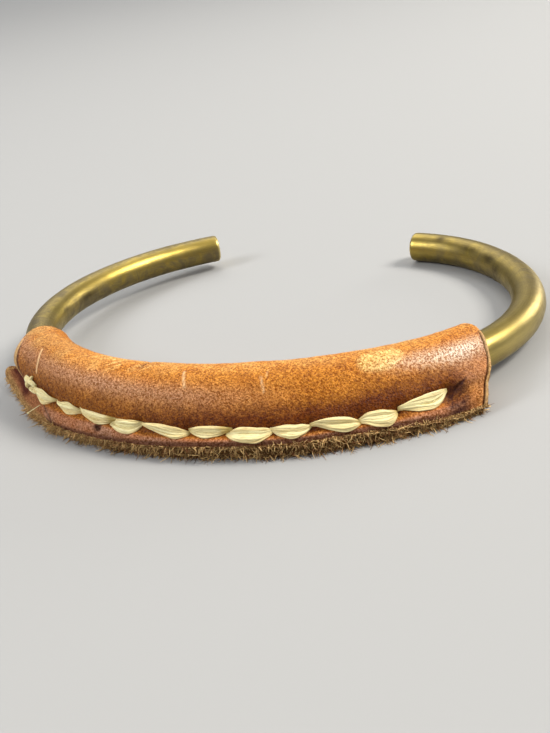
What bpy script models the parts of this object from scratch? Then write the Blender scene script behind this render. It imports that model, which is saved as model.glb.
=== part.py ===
"""Open cuff bracelet: a bent brass rod whose front wears a folded leather sleeve.

The bracelet lies on its side. The sleeve faces -Y, the opening faces +Y, and +Z is up.
Lengths along the rod are counted from its middle, towards its right end.
"""

import math

import bmesh
import bpy
import numpy as np
from mathutils import Vector

MM = 0.001

# Brass rod
ROD_DIAMETER = 4.0 * MM
ROD_LENGTH = 152.0 * MM
ROD_END_BEVEL = 0.25 * MM
ROD_SIDES = 20
ROD_STEP = 2.0 * MM
# Bends of the rod from its left end: share of the rod's length, turn in degrees
BENDS = (
    (0.13, 38.6),
    (0.15, 49.2),
    (0.17, 52.4),
    (0.18, 38.3),
    (0.16, 59.8),
    (0.12, 39.3),
    (0.09, 37.7),
)

# Leather sleeve: one strip folded round the rod, its two raw edges stitched into a flange
LEATHER_THICKNESS = 1.2 * MM
FIT_GAP = 0.3 * MM
SLEEVE_LENGTH = 58.6 * MM
SLEEVE_MIDDLE = -0.5 * MM
FLANGE_WIDTH = 3.0 * MM
FLANGE_SLIT = 0.14 * MM
UPPER_SETBACK = 0.5 * MM
FLANGE_DROOP = 30.2
STEEPEST_DROOP = 70.0
FOOT_WIDTH = 0.5 * MM
# The flange along the sleeve: share of the sleeve's length from its left end, then as shares
# of the flange's width, where the seam runs and where the raw edges are
FLANGE = (
    (0.00, 0.10, 0.80),
    (0.17, 0.16, 0.84),
    (0.31, 0.20, 0.87),
    (0.41, 0.46, 0.94),
    (0.53, 0.58, 1.02),
    (0.64, 0.72, 1.10),
    (0.78, 0.66, 1.01),
    (0.90, 0.44, 0.97),
    (1.00, 0.32, 0.95),
)
# How far each layer of the flange ends short of the sleeve's end, then the share of the
# section round the rod, and of the sleeve's length, over which that fades out
UPPER_LEFT_CUT = 3.0 * MM
LOWER_LEFT_CUT = -3.2 * MM
RIGHT_CUT = 3.2 * MM
CUT_SPREAD = 0.42
CUT_FAN = 0.36
SLEEVE_ARC_POINTS = 15
SLEEVE_STATIONS = 46

# How it lies: on its right arm and on the flange, with the left arm's end just clear
LEFT_ARM_CLEARANCE = 0.9 * MM
SETTLING_ROUNDS = 6

BRASS_COLOR = (0.47, 0.37, 0.14)
LEATHER_COLOR = (0.45, 0.20, 0.075)

ROD_RADIUS = ROD_DIAMETER / 2
BORE_RADIUS = ROD_RADIUS + FIT_GAP
TUBE_RADIUS = BORE_RADIUS + LEATHER_THICKNESS
FLANGE_HALF = LEATHER_THICKNESS + FLANGE_SLIT / 2
SLEEVE_START = SLEEVE_MIDDLE - SLEEVE_LENGTH / 2


def clear_scene():
    """Remove whatever the new file holds."""
    for thing in list(bpy.data.objects):
        bpy.data.objects.remove(thing, do_unlink=True)


def principled(name, color, roughness, metallic):
    """A plain material with the piece's own colour."""
    material = bpy.data.materials.new(name)
    material.use_nodes = True
    shader = material.node_tree.nodes["Principled BSDF"]
    shader.inputs["Base Color"].default_value = (*color, 1.0)
    shader.inputs["Roughness"].default_value = roughness
    shader.inputs["Metallic"].default_value = metallic
    material.diffuse_color = (*color, 1.0)
    return material


def plan_curve(steps=608):
    """The rod's axis from above: lengths from the middle, points and headings.

    Each bend is an arc. The middle of the rod is at the origin and runs along +X there.
    """
    shares = np.array([share for share, turn in BENDS])
    turns = np.radians([turn for share, turn in BENDS])
    ends = np.concatenate([[0.0], np.cumsum(shares)]) / shares.sum()
    turned = np.concatenate([[0.0], np.cumsum(turns)])
    along = np.linspace(0.0, 1.0, steps + 1)
    heading = np.interp(along, ends, turned)
    heading -= np.interp(0.5, along, heading)
    middle = (heading[1:] + heading[:-1]) / 2
    step = ROD_LENGTH / steps
    walk = np.column_stack([np.cos(middle), np.sin(middle)]) * step
    points = np.vstack([[0.0, 0.0], np.cumsum(walk, axis=0)])
    points -= points[steps // 2]
    return (along - 0.5) * ROD_LENGTH, points, heading


def flange_line(share, column):
    """Distance from the rod's axis of the seam, column 1, or of the raw edges, column 2."""
    places = [row[0] for row in FLANGE]
    parts = [row[column] for row in FLANGE]
    return TUBE_RADIUS + FLANGE_WIDTH * float(np.interp(share, places, parts))


def seam_reach(share):
    """Distance of the seam from the rod's axis, at a share of the sleeve's length."""
    return flange_line(share, 1)


def flange_reach(share):
    """Distance of the raw edges from the rod's axis, at a share of the sleeve's length."""
    return flange_line(share, 2)


def resting_plane(points):
    """Height of the axis at the front, and its slopes along X and Y.

    The flange sets the front's height. The left end of the rod and the right arm, wherever
    that is lowest, set the slopes.
    """
    droop = math.radians(FLANGE_DROOP)
    foot = flange_reach(-SLEEVE_START / SLEEVE_LENGTH) - FOOT_WIDTH
    front = foot * math.sin(droop) + FLANGE_HALF * math.cos(droop)
    heights = np.array([ROD_RADIUS + LEFT_ARM_CLEARANCE, ROD_RADIUS])
    right_half = points[len(points) // 2:]
    touching = right_half[-1]
    for attempt in range(SETTLING_ROUNDS):
        slopes = np.linalg.solve(np.array([points[0], touching]), heights - front)
        touching = right_half[np.argmin(right_half @ slopes)]
    return front, slopes[0], slopes[1]


class RodAxis:
    """The rod's axis lying in its resting plane, and the directions square to it."""

    def __init__(self):
        self.along, plan, self.heading = plan_curve()
        front, self.slope_x, self.slope_y = resting_plane(plan)
        height = front + plan @ np.array([self.slope_x, self.slope_y])
        self.points = np.column_stack([plan, height])
        self.normal = Vector((-self.slope_x, -self.slope_y, 1.0)).normalized()

    def point(self, length):
        """The axis point at a length from the middle, running on straight past an end."""
        inside = min(max(length, self.along[0]), self.along[-1])
        place = [float(np.interp(inside, self.along, column)) for column in self.points.T]
        point = Vector(place)
        return point + self.tangent(inside) * (length - inside)

    def tangent(self, length):
        angle = float(np.interp(length, self.along, self.heading))
        rise = self.slope_x * math.cos(angle) + self.slope_y * math.sin(angle)
        return Vector((math.cos(angle), math.sin(angle), rise)).normalized()

    def outward(self, length):
        """The direction away from the wrist, in the resting plane."""
        return self.tangent(length).cross(self.normal).normalized()

    def across(self, length, outward, upward):
        """A point beside the axis: outward from the wrist, and up off the resting plane."""
        out = self.outward(length)
        up = out.cross(self.tangent(length))
        return self.point(length) + out * outward + up * upward


def ring_points(axis, length, radius):
    """A round section of the rod, starting at its lowest point."""
    ring = []
    for side in range(ROD_SIDES):
        angle = 2 * math.pi * side / ROD_SIDES
        ring.append(axis.across(length, radius * math.sin(angle), -radius * math.cos(angle)))
    return ring


def rod_sections():
    """Lengths and radii of the rod's sections, with a small bevel at both cut ends."""
    half = ROD_LENGTH / 2
    inner = half - ROD_END_BEVEL
    count = max(8, round(2 * inner / ROD_STEP))
    lengths = np.linspace(-inner, inner, count + 1)
    sections = [(-half, ROD_RADIUS - ROD_END_BEVEL)]
    sections += [(float(length), ROD_RADIUS) for length in lengths]
    sections.append((half, ROD_RADIUS - ROD_END_BEVEL))
    return sections


def loft(mesh_builder, rings):
    """Join rings of as many vertices into a skin, round and along."""
    rows = [[mesh_builder.verts.new(point) for point in ring] for ring in rings]
    for here, there in zip(rows, rows[1:]):
        for near, vertex in enumerate(here):
            far = (near + 1) % len(here)
            mesh_builder.faces.new((vertex, here[far], there[far], there[near]))
    return rows


def finish_object(name, mesh_builder, material, sharp_angle):
    """Turn the built mesh into a named, smooth-shaded object."""
    bmesh.ops.recalc_face_normals(mesh_builder, faces=mesh_builder.faces)
    mesh = bpy.data.meshes.new(name)
    mesh_builder.to_mesh(mesh)
    mesh_builder.free()
    mesh.materials.append(material)
    mesh.shade_smooth()
    mesh.set_sharp_from_angle(angle=math.radians(sharp_angle))
    thing = bpy.data.objects.new(name, mesh)
    bpy.context.scene.collection.objects.link(thing)
    return thing


def build_rod(axis):
    """The bent rod: one solid with square cut ends."""
    builder = bmesh.new()
    rows = loft(builder, [ring_points(axis, *section) for section in rod_sections()])
    builder.faces.new(rows[0])
    builder.faces.new(rows[-1])
    material = principled("brass", BRASS_COLOR, 0.38, 1.0)
    return finish_object("brass_rod", builder, material, 40)


def web_angle(seam):
    """Angle from the flange at which the leather leaves the tube, tight to the seam."""
    distance = math.hypot(seam, FLANGE_HALF)
    return math.atan2(FLANGE_HALF, seam) + math.acos(TUBE_RADIUS / distance)


def section_columns(share):
    """Outer and inner points of the folded sheet, from its upper raw edge to its lower one.

    Each point is (along the flange, square to the flange), with the rod's axis at the origin.
    """
    seam = seam_reach(share)
    edge = flange_reach(share)
    upper_edge = edge - UPPER_SETBACK
    angle = web_angle(seam)
    half_slit = FLANGE_SLIT / 2
    tip = (BORE_RADIUS - half_slit * math.sin(angle)) / math.cos(angle)
    upper = (upper_edge, (upper_edge + seam) / 2)
    lower = (edge - FOOT_WIDTH, edge)
    outer = [(reach, FLANGE_HALF) for reach in (*upper, seam)]
    inner = [(reach, half_slit) for reach in (*upper, min(tip, seam))]
    for turn in np.linspace(angle, 2 * math.pi - angle, SLEEVE_ARC_POINTS):
        outer.append((TUBE_RADIUS * math.cos(turn), TUBE_RADIUS * math.sin(turn)))
        inner.append((BORE_RADIUS * math.cos(turn), BORE_RADIUS * math.sin(turn)))
    outer += [(reach, -FLANGE_HALF) for reach in (seam, *lower)]
    inner += [(reach, -half_slit) for reach in (min(tip, seam), *lower)]
    return outer, inner


def column_length(share, column, last_column):
    """Length along the rod of one column of the sheet, at a share of the sleeve's length.

    The sheet's ends are cut back or run on towards the flange, each layer by its own length.
    """
    place = column / last_column
    upper = max(0.0, 1.0 - place / CUT_SPREAD)
    lower = max(0.0, 1.0 - (1.0 - place) / CUT_SPREAD)
    left_fan = max(0.0, 1.0 - share / CUT_FAN)
    right_fan = max(0.0, 1.0 - (1.0 - share) / CUT_FAN)
    left_cut = UPPER_LEFT_CUT * upper + LOWER_LEFT_CUT * lower
    right_cut = RIGHT_CUT * (upper + lower)
    return SLEEVE_START + SLEEVE_LENGTH * share + left_cut * left_fan - right_cut * right_fan


def droop_angle(axis, length, foot):
    """Droop at which the foot of the flange's lower side meets the surface it lies on."""
    outward = axis.outward(length)
    upward = outward.cross(axis.tangent(length))
    rise = math.hypot(outward.z, upward.z)
    reach = rise * math.hypot(foot, FLANGE_HALF)
    steepest = math.sin(math.radians(STEEPEST_DROOP))
    lean = math.asin(min(axis.point(length).z / reach, steepest))
    return lean - math.atan2(FLANGE_HALF, foot) + math.atan2(outward.z, upward.z)


def place_column(axis, share, column, last_column, along_flange, off_flange):
    """Put a section point beside the rod, pressed flat where it meets the surface."""
    length = column_length(share, column, last_column)
    droop = droop_angle(axis, length, flange_reach(share) - FOOT_WIDTH)
    outward = along_flange * math.cos(droop) + off_flange * math.sin(droop)
    upward = off_flange * math.cos(droop) - along_flange * math.sin(droop)
    point = axis.across(length, outward, upward)
    point.z = max(point.z, 0.0)
    return point


def build_sleeve(axis):
    """The folded leather sheet: a teardrop round the rod and a two-layer flange."""
    builder = bmesh.new()
    rings = []
    for share in np.linspace(0.0, 1.0, SLEEVE_STATIONS):
        outer, inner = section_columns(float(share))
        last = len(outer) - 1
        ring = [place_column(axis, share, k, last, *outer[k]) for k in range(last + 1)]
        ring += [place_column(axis, share, k, last, *inner[k]) for k in range(last, -1, -1)]
        rings.append(ring)
    rows = loft(builder, rings)
    for row in (rows[0], rows[-1]):
        for near in range(len(row) // 2 - 1):
            far = len(row) - 1 - near
            builder.faces.new((row[near], row[near + 1], row[far - 1], row[far]))
    material = principled("leather", LEATHER_COLOR, 0.48, 0.0)
    return finish_object("leather_sleeve", builder, material, 50)


def centre_on_footprint(things):
    """Move the meshes so that the origin is under the middle of the whole bracelet."""
    corners = [vertex.co for thing in things for vertex in thing.data.vertices]
    low = Vector([min(corner[k] for corner in corners) for k in range(3)])
    high = Vector([max(corner[k] for corner in corners) for k in range(3)])
    shift = Vector(((low.x + high.x) / 2, (low.y + high.y) / 2, low.z))
    for thing in things:
        for vertex in thing.data.vertices:
            vertex.co -= shift


def main():
    clear_scene()
    axis = RodAxis()
    things = [build_rod(axis), build_sleeve(axis)]
    centre_on_footprint(things)


main()
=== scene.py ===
"""Looks of the open cuff bracelet: brass rod, folded leather sleeve, sinew stitches and loose fibres.

Shapes are worked out in millimetres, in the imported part's place. Lengths along the rod count
from its middle towards its right end. Across the sleeve, "along the flange" runs from the rod's
axis out to the raw edges, and "off the flange" is square to it, upwards.
"""

import math

import bmesh
import bpy
import numpy as np
from mathutils import Matrix, Vector


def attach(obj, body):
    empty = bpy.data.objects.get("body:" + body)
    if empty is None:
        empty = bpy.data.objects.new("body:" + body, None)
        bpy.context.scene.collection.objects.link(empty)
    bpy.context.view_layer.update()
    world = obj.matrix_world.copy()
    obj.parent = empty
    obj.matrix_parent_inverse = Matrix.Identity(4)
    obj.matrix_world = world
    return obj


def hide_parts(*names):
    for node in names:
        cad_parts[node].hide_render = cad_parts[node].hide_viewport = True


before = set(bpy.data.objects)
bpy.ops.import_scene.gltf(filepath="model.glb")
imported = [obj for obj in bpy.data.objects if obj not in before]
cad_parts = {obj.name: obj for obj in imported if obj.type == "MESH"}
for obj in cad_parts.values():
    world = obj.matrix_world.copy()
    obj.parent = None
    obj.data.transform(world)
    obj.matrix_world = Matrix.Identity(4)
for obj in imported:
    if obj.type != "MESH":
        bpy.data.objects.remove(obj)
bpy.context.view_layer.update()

MM = 0.001

# The rod and how it lies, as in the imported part
ROD_RADIUS = 2.0
ROD_LENGTH = 152.0
BENDS = (
    (0.13, 38.6),
    (0.15, 49.2),
    (0.17, 52.4),
    (0.18, 38.3),
    (0.16, 59.8),
    (0.12, 39.3),
    (0.09, 37.7),
)
AXIS_STEPS = 608
LEFT_ARM_CLEARANCE = 0.9
SETTLING_ROUNDS = 6
ROD_LEFT_END = -76.3
ROD_RIGHT_END = 75.6
# Dark smudges on the brass: length along the rod, turn round it from its lowest side outwards,
# and reach in millimetres and in degrees
SMUDGES = (
    (70.7, 205.0, 0.9, 17.0),
    (64.6, 223.0, 1.6, 17.0),
    (59.6, 232.0, 1.3, 15.0),
    (56.7, 258.0, 1.1, 20.0),
    (-50.0, 262.0, 2.2, 14.0),
    (-43.0, 250.0, 1.6, 10.0),
)
# Tarnish along the rod, as length and strength
TARNISH = (
    (-76, 0.35), (-60, 0.3), (-40, 0.35), (30, 0.3), (40, 0.45), (60, 1.1), (70, 1.0), (76, 0.4),
)
ROD_ROUNDING = 0.45
ROD_RINGS = 380
ROD_SIDES = 72
PART_SHIFT = (-0.536, -23.997, 0.0)

# The sleeve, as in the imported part
LEATHER = 1.2
TUBE_RADIUS = 3.5
FLANGE_WIDTH = 3.0
FLANGE_HALF = 1.27
SLIT_HALF = 0.07
UPPER_SETBACK = 0.5
FLANGE_DROOP = 30.2
STEEPEST_DROOP = 70.0
FOOT_WIDTH = 0.5
SLEEVE_LEFT = -29.8
SLEEVE_RIGHT = 28.8
FLANGE = (
    (0.00, 0.10, 0.80),
    (0.17, 0.16, 0.84),
    (0.31, 0.20, 0.87),
    (0.41, 0.46, 0.94),
    (0.53, 0.58, 1.02),
    (0.64, 0.72, 1.10),
    (0.78, 0.66, 1.01),
    (0.90, 0.44, 0.97),
    (1.00, 0.32, 0.95),
)

# How finely the sleeve is made
HUG_RADIUS = 2.07
OUTER_COLUMNS = 151
INNER_STRIDE = 3
INNER_COLUMNS = (OUTER_COLUMNS - 1) // INNER_STRIDE + 1
EDGE_ROWS = 5
TURN_POINTS = 120
STATIONS = 430
TABLE_STEP = 0.1
TABLE_FROM = -36.0
TABLE_TO = 31.0
SMOOTHING = 2.2
END_SMOOTHING = 3.0
END_FADE = 24.0
END_SECTIONS = (-28.0, 27.0)
# How raw the cut ends look, and how far up from the seam the flange's upper side reaches
CAP_RAW = 0.7
ON_TOP = 3.0

# Where the leather ends, as pairs of distance from the seam and length along the rod.
# Distances are positive up the tube and negative out to the raw edge.
UPPER_LEFT_END = (
    (-1.6, -18.6), (-0.8, -19.4), (-0.4, -20.3), (0.0, -21.3), (0.3, -22.4), (0.7, -23.5),
    (1.3, -25.0), (2.1, -26.4), (2.7, -26.9), (3.4, -27.3), (4.2, -27.9), (5.4, -28.8), (7.0, -29.5),
)
LOWER_LEFT_END = (
    (-2.2, -32.2), (-1.8, -33.5), (-1.2, -34.1), (-0.4, -33.8), (0.4, -32.8), (1.5, -31.3),
    (3.0, -30.3), (5.0, -29.8),
)
RIGHT_END = (
    (-2.2, 24.8), (-1.3, 25.1), (-0.4, 25.7), (0.3, 26.3), (1.9, 27.5), (3.1, 28.0), (4.2, 28.3),
    (6.5, 28.6),
)
# A small awl hole in the flange and a nick in the top, as length along the rod and place across
STRAY_HOLE = (-11.0, 4.86)
NICK = (-7.6, 138.0)
# How widely and deeply the upper skin rolls over its raw edge, and how far it overhangs
ROLL_WIDTH = ((0.0, 1.3), (14.0, 1.4), (22.0, 2.5))
ROLL_DEPTH = ((-20.0, 0.80), (0.0, 0.75), (12.0, 0.85), (22.0, 1.65))
OVERHANG = ((-22.0, 0.20), (0.0, 0.15), (14.0, 0.22), (22.0, 0.75))
# Shades along the sleeve, as length and strength, and how far up the tube the painted mauve sheen is;
# the dark is partly painted shade, the sheen a painted reflection
DARKNESS = ((-30, 0.2), (-22, 0.5), (-8, 0.78), (5, 1.05), (15, 1.1), (22, 0.8), (26, 0.3))
MAUVE_SHEEN = (
    (-29, 0.85), (-22, 0.7), (-12, 1.0), (-2, 0.8), (5, 0.3), (10, 0.0), (21, 0.0), (28, 0.50),
)
MAUVE_SHEEN_CENTRE = ((-29, 4.6), (-22, 4.5), (-12, 4.15), (2, 3.8), (28, 3.6))
RAW_PALENESS = ((-20.0, 1.0), (-8.0, 0.6), (4.0, 0.15), (14.0, 0.35))
# Scratches: three places each, as length along the rod and angle round it, width, strength
SCRATCHES = (
    ((-22.6, 108), (-21.7, 85), (-21.3, 62), 0.13, 1.0),
    ((-2.3, 108), (-2.1, 92), (-1.8, 74), 0.10, 0.9),
    ((5.6, 88), (5.75, 72), (5.9, 58), 0.10, 0.6),
    ((6.3, 100), (6.2, 92), (6.1, 84), 0.08, 0.4),
)

# Stitches on the upper side. Each row has where it goes down into the leather at its left and
# at its right, as length along the rod and distance from the axis, then how far it bulges
# towards the tube and towards the raw edge, and how golden its right end is.
STITCH_SHARES = (0.0, 0.12, 0.30, 0.50, 0.70, 0.88, 1.0)
STITCHES = (
    ((-22.2, 3.10), (-17.8, 3.40), (0.16, 0.36, 0.50, 0.42, 0.21), (0.78, 0.94, 1.09, 0.60, 0.23), 0.1),
    ((-17.4, 3.35), (-13.9, 3.76), (0.10, 0.24, 0.48, 0.46, 0.30), (0.40, 0.59, 0.73, 0.52, 0.24), 0.1),
    ((-13.8, 3.45), (-8.9, 3.95), (0.15, 0.25, 0.28, 0.21, 0.12), (0.43, 0.66, 0.85, 0.58, 0.17), 1.0),
    ((-9.7, 4.28), (-6.2, 4.15), (0.38, 0.38, 0.37, 0.34, 0.22), (0.33, 0.69, 0.94, 0.98, 0.57), 0.2),
    ((-6.3, 4.14), (-1.3, 4.92), (0.12, 0.24, 0.30, 0.24, 0.12), (0.15, 0.38, 0.63, 0.82, 0.51), 0.1),
    ((-1.2, 4.66), (2.8, 4.82), (0.16, 0.28, 0.29, 0.22, 0.14), (0.34, 0.65, 0.76, 0.59, 0.20), 0.9),
    ((2.4, 5.14), (6.5, 5.14), (0.22, 0.42, 0.32, 0.16, 0.05), (0.58, 0.96, 1.06, 1.00, 0.58), 0.1),
    ((6.4, 5.08), (9.8, 5.15), (0.08, 0.12, 0.12, 0.08, 0.02), (0.36, 0.77, 1.03, 0.95, 0.58), 0.1),
    ((9.9, 5.10), (14.1, 5.36), (0.16, 0.28, 0.30, 0.28, 0.14), (0.15, 0.40, 0.75, 0.84, 0.55), 0.2),
    ((14.1, 5.27), (17.4, 5.08), (0.20, 0.36, 0.32, 0.22, 0.14), (0.34, 0.69, 0.84, 0.92, 0.58), 0.3),
    ((17.7, 4.90), (22.2, 4.34), (0.10, 0.23, 0.22, 0.16, 0.14), (0.23, 0.47, 0.72, 0.91, 0.60), 0.0),
)
# Three short turns of the knot at the left end, as the stitches are given
KNOT = (
    ((-23.7, 2.60), (-21.2, 2.75), (0.26, 0.34, 0.36, 0.32, 0.22), (0.20, 0.26, 0.28, 0.26, 0.20), 0.0),
    ((-23.3, 3.50), (-22.1, 2.20), (0.24, 0.32, 0.34, 0.30, 0.22), (0.20, 0.26, 0.28, 0.26, 0.20), 0.0),
    ((-23.1, 3.50), (-20.9, 3.30), (0.16, 0.28, 0.30, 0.26, 0.16), (0.18, 0.28, 0.30, 0.24, 0.20), 0.0),
)
# Half widths towards the tube and towards the raw edge at both tips of a stitch, and of the
# plain stitches below
STITCH_TIPS = (0.09, 0.12)
PLAIN_WIDTHS = (0.35, 0.45, 0.5, 0.45, 0.35)
# The thread's loose end: start as length along the rod and distance from the axis, then how
# far it runs along the rod, outwards and down
LOOSE_END = ((-20.0, 4.45), (-1.00, 1.35, 0.85))
STITCH_FIBRES = 13
STITCH_OVERLAP = 0.12
STITCH_POINTS = 26
# How far the fibres at the middle of a stitch stand out: above, in the knot and below
STITCH_RISE = 0.20
KNOT_RISE = 0.50
LOWER_RISE = 0.08
THREAD_SIDES = 6
THREAD_FLATNESS = 0.55
# Least heights of the middles of fibres over the surface that the bracelet lies on
THREAD_LIFT = 0.06
FUZZ_LIFT = 0.04
FUZZ_COUNT = 8200
FUZZ_MEDIAN = 0.40
FUZZ_SHORTEST = 0.10
FUZZ_LONGEST = 0.68
FUZZ_POINTS = 4
FUZZ_SIDES = 3

# Lights: name, place, target, size, watts and colour
LIGHT_TARGET = (0.0, -10.0, 3.0)
LIGHTS = (
    ("light_right", (560.0, 140.0, 580.0), LIGHT_TARGET, 300.0, 7.6, (1.0, 0.97, 0.92)),
    ("light_top", (-60.0, 480.0, 850.0), (-60.0, 240.0, 0.0), 800.0, 2.7, (1.0, 0.98, 0.95)),
    ("light_left", (-560.0, -320.0, 500.0), LIGHT_TARGET, 300.0, 3.4, (0.94, 0.96, 1.0)),
    ("light_backdrop", (-700.0, 1500.0, 1200.0), (-700.0, 1400.0, 0.0), 1500.0, 13.5,
     (1.0, 1.0, 1.0)),
    ("light_back", (480.0, 640.0, 190.0), LIGHT_TARGET, 260.0, 1.9, (1.0, 0.98, 0.94)),
)
# The camera, with its focal length as a share of the picture's longer side
CAMERA_PLACE = (32.549, -106.128, 47.122)
CAMERA_FORWARD = (-0.27341, 0.86578, -0.41913)
CAMERA_UP = (0.03623, 0.44469, 0.89495)
CAMERA_FOCUS = 950.0 / 733.0
CAMERA_SENSOR = 36.0


def cell_values(cells, seed):
    """Repeatable values from -1 to 1, one for each whole-number cell of three columns."""
    whole = (cells & 0xFFFFFFFF).astype(np.uint64)
    mask = np.uint64(0xFFFFFFFF)
    mixed = whole[..., 0] * np.uint64(0x9E3779B1)
    mixed ^= whole[..., 1] * np.uint64(0x85EBCA77)
    mixed ^= whole[..., 2] * np.uint64(0xC2B2AE3D)
    mixed ^= np.uint64(seed * 0x27D4EB2F)
    mixed &= mask
    mixed = ((mixed ^ (mixed >> np.uint64(15))) * np.uint64(0x2C1B3C6D)) & mask
    mixed = ((mixed ^ (mixed >> np.uint64(12))) * np.uint64(0x297A2D39)) & mask
    mixed ^= mixed >> np.uint64(15)
    return mixed / 0x7FFFFFFF - 1.0


def noise(points, size, seed):
    """Smooth noise from about -1 to 1 that changes over size millimetres."""
    grid = np.asarray(points, float) / size
    low = np.floor(grid).astype(np.int64)
    part = grid - low
    part = part * part * (3 - 2 * part)
    total = 0.0
    for corner in np.ndindex(2, 2, 2):
        weight = np.prod(np.where(corner, part, 1 - part), axis=-1)
        total = total + weight * cell_values(low + np.array(corner), seed)
    return total


def hill(value, centre, width):
    """A smooth hill of height 1 at centre, about width wide to each side."""
    return np.exp(-(((value - centre) / width) ** 2))


def spot(lengths, turned, length, around, reach, spread):
    """1 at a place on a round surface, fading out along it and round it."""
    return hill(lengths, length, reach) * hill(turned, around, spread)


def dimple(lengths, along, hole, radius):
    """1 at a hole, given by its length and its place across, fading out round it."""
    return np.exp(-((lengths - hole[0]) ** 2 + (along - hole[1]) ** 2) / radius ** 2)


def stack(*columns):
    """Columns, or single values, side by side along a new last axis."""
    return np.stack(np.broadcast_arrays(*columns), -1)


def table(places, rows):
    """Values at places, in line between rows of place and value."""
    return np.interp(places, *zip(*rows))


def onward(rings):
    """For each point of closed rings, the next point of its ring."""
    return np.roll(rings, -1, -1)


def quads(*corners):
    """Faces from four matching arrays of point numbers."""
    return np.stack(corners, -1).reshape(-1, 4).tolist()


def ease(value, low, high):
    """0 below low, 1 above high, smooth between; low may be above high."""
    part = np.clip((value - low) / (high - low), 0.0, 1.0)
    return part * part * (3 - 2 * part)


def unit(vectors):
    return vectors / np.linalg.norm(vectors, axis=-1, keepdims=True)


def flange_lines(lengths):
    """Distance from the rod's axis of the seam and of the raw edges, at lengths along the rod."""
    shares = (lengths - SLEEVE_LEFT) / (SLEEVE_RIGHT - SLEEVE_LEFT)
    places, *columns = zip(*FLANGE)
    return [TUBE_RADIUS + FLANGE_WIDTH * np.interp(shares, places, column) for column in columns]


class RodAxis:
    """The rod's axis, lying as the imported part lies, and the directions square to it."""

    def __init__(self):
        shares = np.array([share for share, turn in BENDS])
        turns = np.radians([turn for share, turn in BENDS])
        ends = np.concatenate([[0.0], np.cumsum(shares)]) / shares.sum()
        turned = np.concatenate([[0.0], np.cumsum(turns)])
        along = np.linspace(0.0, 1.0, AXIS_STEPS + 1)
        heading = np.interp(along, ends, turned)
        heading -= np.interp(0.5, along, heading)
        middle = (heading[1:] + heading[:-1]) / 2
        walk = np.column_stack([np.cos(middle), np.sin(middle)]) * ROD_LENGTH / AXIS_STEPS
        plan = np.vstack([[0.0, 0.0], np.cumsum(walk, axis=0)])
        plan -= plan[AXIS_STEPS // 2]
        self.along = (along - 0.5) * ROD_LENGTH
        self.heading = heading
        front = self.settle(plan)
        height = front + plan @ self.slopes
        self.points = np.column_stack([plan, height]) + PART_SHIFT
        self.normal = unit(np.array([-self.slopes[0], -self.slopes[1], 1.0]))

    def settle(self, plan):
        """Height of the axis at the front; sets its slopes so that the right arm touches down."""
        droop = math.radians(FLANGE_DROOP)
        foot = float(flange_lines(0.0)[1]) - FOOT_WIDTH
        front = foot * math.sin(droop) + FLANGE_HALF * math.cos(droop)
        heights = np.array([ROD_RADIUS + LEFT_ARM_CLEARANCE, ROD_RADIUS])
        right_half = plan[len(plan) // 2:]
        touching = right_half[-1]
        for attempt in range(SETTLING_ROUNDS):
            self.slopes = np.linalg.solve(np.array([plan[0], touching]), heights - front)
            touching = right_half[np.argmin(right_half @ self.slopes)]
        return front

    def directions(self, lengths):
        """Points, tangents, outward and upward directions at lengths along the rod."""
        inside = np.clip(lengths, self.along[0], self.along[-1])
        angle = np.interp(inside, self.along, self.heading)
        across = stack(np.cos(angle), np.sin(angle))
        rise = across @ self.slopes
        tangent = unit(np.concatenate([across, rise[..., None]], axis=-1))
        outward = unit(np.cross(tangent, self.normal))
        upward = np.cross(outward, tangent)
        points = stack(*(np.interp(inside, self.along, column) for column in self.points.T))
        points = points + tangent * (lengths - inside)[..., None]
        return points, tangent, outward, upward

    def droop(self, lengths):
        """Droop at which the foot of the flange's lower side meets the surface it lies on."""
        points, _, outward, upward = self.directions(lengths)
        foot = flange_lines(lengths)[1] - FOOT_WIDTH
        reach = np.hypot(outward[..., 2], upward[..., 2]) * np.hypot(foot, FLANGE_HALF)
        steepest = math.sin(math.radians(STEEPEST_DROOP))
        lean = np.arcsin(np.minimum(points[..., 2] / reach, steepest))
        turn = np.arctan2(outward[..., 2], upward[..., 2])
        return lean - np.arctan2(FLANGE_HALF, foot) + turn

    def beside(self, lengths, along_flange, off_flange):
        """Points of the sleeve's section, given along and off the drooping flange."""
        points, _, outward, upward = self.directions(lengths)
        droop = self.droop(lengths)
        out = along_flange * np.cos(droop) + off_flange * np.sin(droop)
        up = off_flange * np.cos(droop) - along_flange * np.sin(droop)
        return points + outward * out[..., None] + upward * up[..., None]


AXIS = RodAxis()


def section_line(seam, edge, upper_edge, radius, half, tip):
    """Corner points of one skin of the folded sheet: flange, round the tube, flange."""
    distance = math.hypot(seam, FLANGE_HALF)
    angle = math.atan2(FLANGE_HALF, seam) + math.acos(TUBE_RADIUS / distance)
    turns = np.linspace(angle, 2 * math.pi - angle, TURN_POINTS)
    along = np.concatenate([[upper_edge, tip], radius * np.cos(turns), [tip, edge]])
    off = np.concatenate([[half, half], radius * np.sin(turns), [-half, -half]])
    return along, off, angle


def resample(along, off, count):
    """The line as count points, evenly spaced, with the distance of each along the line."""
    steps = np.hypot(np.diff(along), np.diff(off))
    walked = np.concatenate([[0.0], np.cumsum(steps)])
    even = np.linspace(0.0, walked[-1], count)
    return np.interp(even, walked, along), np.interp(even, walked, off), even


def smooth_columns(values, spread):
    """Values smoothed along their last axis; the two ends stay where they are."""
    reach = int(4 * spread)
    kernel = np.exp(-0.5 * (np.arange(-reach, reach + 1) / spread) ** 2)
    kernel /= kernel.sum()
    first = 2 * values[:, :1] - values[:, reach:0:-1]
    last = 2 * values[:, -1:] - values[:, -2:-reach - 2:-1]
    padded = np.concatenate([first, values, last], axis=1)
    return np.stack([np.convolve(row, kernel, mode="valid") for row in padded])


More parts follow.
